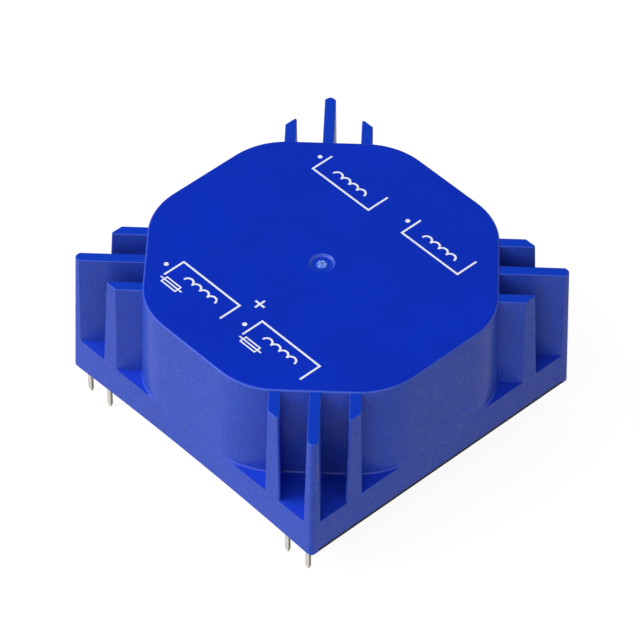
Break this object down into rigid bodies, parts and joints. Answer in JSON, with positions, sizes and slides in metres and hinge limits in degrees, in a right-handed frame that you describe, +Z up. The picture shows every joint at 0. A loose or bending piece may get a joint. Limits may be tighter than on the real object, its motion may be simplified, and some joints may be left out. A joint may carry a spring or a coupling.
{
  "type": "encapsulated toroidal pcb transformer",
  "caption": "Square potted toroidal transformer for a circuit board, with drafted corner ribs, a rounded eight-sided body and two rows of flat pins.",
  "frame": {"origin": "centre of the seating plane, where the rim of the housing meets the circuit board; the pins reach below it", "axes": "+Z up, away from the board; the rows of pins run along X, with the secondary row on -Y and the primary row on +Y"},
  "size_m": [0.06, 0.06, 0.032],
  "materials": {
    "housing": "moulded polyamide, smooth top and finely matt side walls",
    "resin": "cast epoxy resin, satin",
    "core_steel": "wound strip of grain-oriented steel",
    "yellow_tape": "polyester tape",
    "white_tape": "polyester tape, half clear",
    "enamelled_copper": "enamelled copper wire",
    "tinned_pin": "tinned, satin",
    "solder": "solder, dull",
    "sleeve": "woven sleeve"
  },
  "bodies": {
    "root": {"housing": "housing", "potting_compound": "resin", "toroid_core": "core_steel", "core_insulation": "yellow_tape", "primary_winding_1": "enamelled_copper", "primary_winding_2": "enamelled_copper", "winding_barrier": "yellow_tape", "secondary_winding_1": "enamelled_copper", "secondary_winding_2": "enamelled_copper", "outer_wrap": "white_tape", "solder_joints": "solder", "pin_1": "tinned_pin", "pin_2": "tinned_pin", "pin_3": "tinned_pin", "pin_4": "tinned_pin", "pin_5": "tinned_pin", "pin_6": "tinned_pin", "pin_7": "tinned_pin", "pin_8": "tinned_pin", "lead_sleeve_1": "sleeve", "lead_sleeve_2": "sleeve", "lead_sleeve_3": "sleeve", "lead_sleeve_4": "sleeve", "lead_sleeve_5": "sleeve", "lead_sleeve_6": "sleeve", "lead_sleeve_7": "sleeve", "lead_sleeve_8": "sleeve"}
  },
  "joints": []
}
